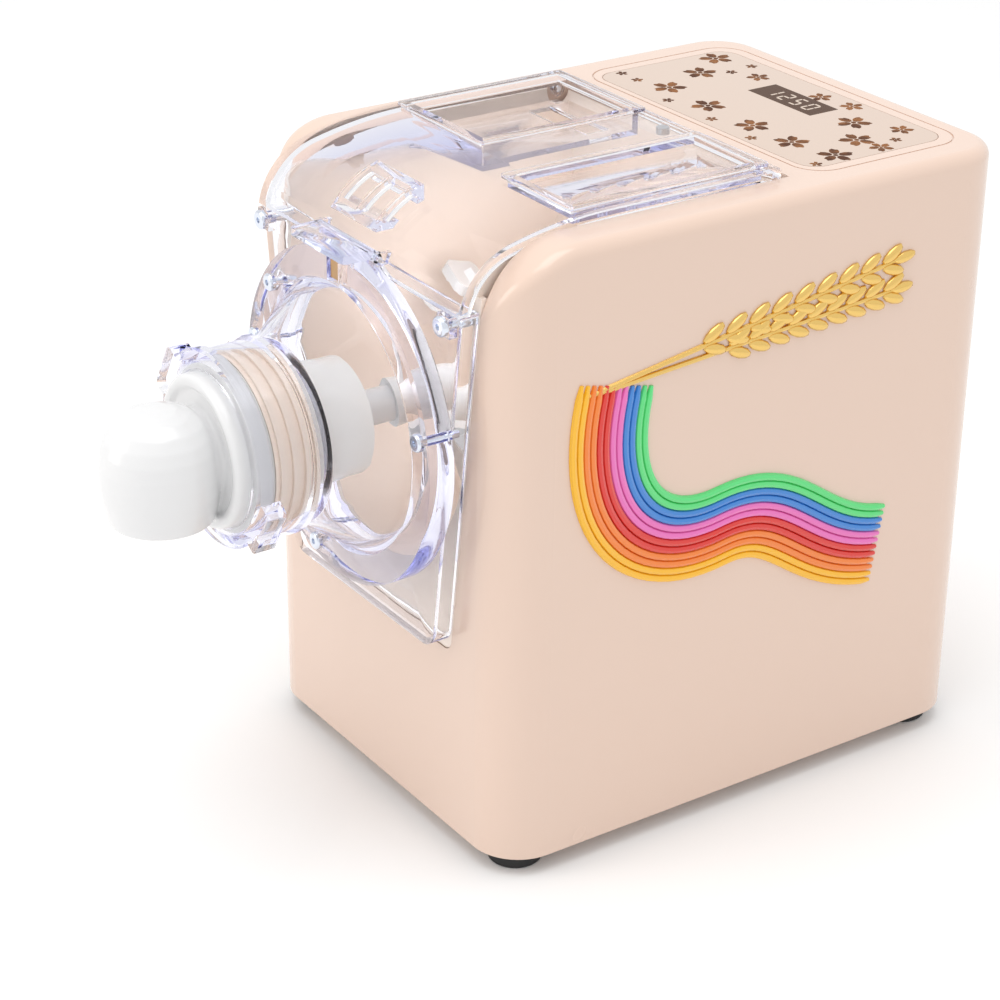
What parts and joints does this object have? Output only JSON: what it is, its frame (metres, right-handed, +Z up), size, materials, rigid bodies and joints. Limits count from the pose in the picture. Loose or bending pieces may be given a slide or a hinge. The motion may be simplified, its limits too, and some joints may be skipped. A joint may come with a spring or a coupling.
{
  "type": "electric pasta maker",
  "caption": "Upright counter-top pasta extruder: boxy housing on rubber feet, clear hinged lid, clear front flange with lock nut, white die elbow and top control panel.",
  "frame": {"origin": "on the resting surface, under the middle of the whole machine's box", "axes": "+Z up, -Y the way the extruder points, +X the machine's side that is on the viewer's right when facing the extruder"},
  "size_m": [0.2, 0.398, 0.2966],
  "materials": {
    "champagne_shell": "glossy moulded champagne plastic",
    "bowl_plastic": "smooth moulded champagne plastic",
    "panel_film": "glossy printed film, tan with brown blossoms",
    "clear_plastic": "clear polished plastic with blue-violet edges",
    "insert_plastic": "tan moulded plastic",
    "amber_plastic": "amber moulded plastic",
    "white_plastic": "smooth white plastic",
    "foot_rubber": "black rubber",
    "silicone": "soft white silicone",
    "chrome_screws": "bright plated steel",
    "plain_steel": "turned steel",
    "gear_nylon": "natural nylon",
    "gearbox_alloy": "cast alloy",
    "board": "green circuit board",
    "components": "black moulded housings"
  },
  "bodies": {
    "machine": {"housing_shell": "champagne_shell", "base_plate": "champagne_shell", "mixing_bowl": "bowl_plastic", "control_film": "panel_film", "front_plate": "clear_plastic", "outlet_barrel": "clear_plastic", "threaded_insert": "insert_plastic", "auger_sleeve": "white_plastic", "foot_front_left": "foot_rubber", "foot_front_right": "foot_rubber", "foot_rear_left": "foot_rubber", "foot_rear_right": "foot_rubber", "shaft_seal": "silicone", "flange_screws": "chrome_screws", "corner_screws": "chrome_screws", "lid_hinge_pins": "chrome_screws", "foot_screws": "plain_steel", "main_bearings": "plain_steel", "layshaft_bushes": "plain_steel", "motor_bearings": "plain_steel", "gearbox_pillars": "plain_steel", "inlet_pins": "plain_steel", "gearbox_front_plate": "gearbox_alloy", "gearbox_rear_plate": "gearbox_alloy", "motor_case": "gearbox_alloy", "control_board": "board", "power_board": "board", "power_components": "components", "display_module": "components", "reed_switch": "components", "mains_inlet": "components"},
    "mixer": {"mixer_shaft": "plain_steel", "auger_screw": "white_plastic", "output_gear": "gear_nylon"},
    "layshaft_gears": {"layshaft": "plain_steel", "layshaft_wheel": "gear_nylon", "layshaft_pinion": "gear_nylon"},
    "motor_armature": {"motor_rotor": "plain_steel", "motor_pinion": "plain_steel", "cooling_fan": "gear_nylon"},
    "lid": {"lid_shell": "clear_plastic", "fill_hopper": "clear_plastic", "water_tray": "clear_plastic", "lid_handle": "clear_plastic", "latch_pin": "chrome_screws", "lid_magnet": "plain_steel"},
    "latch": {"latch_tab": "clear_plastic", "latch_hook": "amber_plastic"},
    "die_head": {"die_elbow": "white_plastic", "die_plate": "white_plastic", "die_gasket": "silicone"},
    "nut": {"lock_nut": "clear_plastic"}
  },
  "joints": [
    {"name": "mixer_spin", "type": "hinge", "parent": "machine", "child": "mixer", "pos_m": [0, -0.066, 0.192], "axis": [0, 1, 0], "continuous": true},
    {"name": "layshaft_spin", "type": "hinge", "parent": "machine", "child": "layshaft_gears", "pos_m": [0, -0.066, 0.114], "axis": [0, 1, 0], "continuous": true},
    {"name": "motor_spin", "type": "hinge", "parent": "machine", "child": "motor_armature", "pos_m": [0, -0.066, 0.054], "axis": [0, 1, 0], "continuous": true},
    {"name": "lid_hinge", "type": "hinge", "parent": "machine", "child": "lid", "pos_m": [0, 0.082, 0.2875], "axis": [-1, 0, 0], "range_deg": [0, 65]},
    {"name": "latch_lift", "type": "hinge", "parent": "lid", "child": "latch", "pos_m": [0, -0.0788, 0.2696], "axis": [-1, 0, 0], "range_deg": [0, 12], "stiffness_Nm_per_rad": 0.03},
    {"name": "die_slide", "type": "slide", "parent": "machine", "child": "die_head", "axis": [0, -1, 0], "range_m": [0, 0.018]},
    {"name": "nut_turn", "type": "hinge", "parent": "die_head", "child": "nut", "pos_m": [0, -0.147, 0.192], "axis": [0, 1, 0], "range_deg": [0, 360]}
  ],
  "couplings": [
    {"joint": "layshaft_spin", "follows": "mixer_spin", "ratio": -3.875},
    {"joint": "motor_spin", "follows": "mixer_spin", "ratio": 27.125},
    {"joint": "die_slide", "follows": "nut_turn", "m_per_rad": 0.0028648}
  ]
}
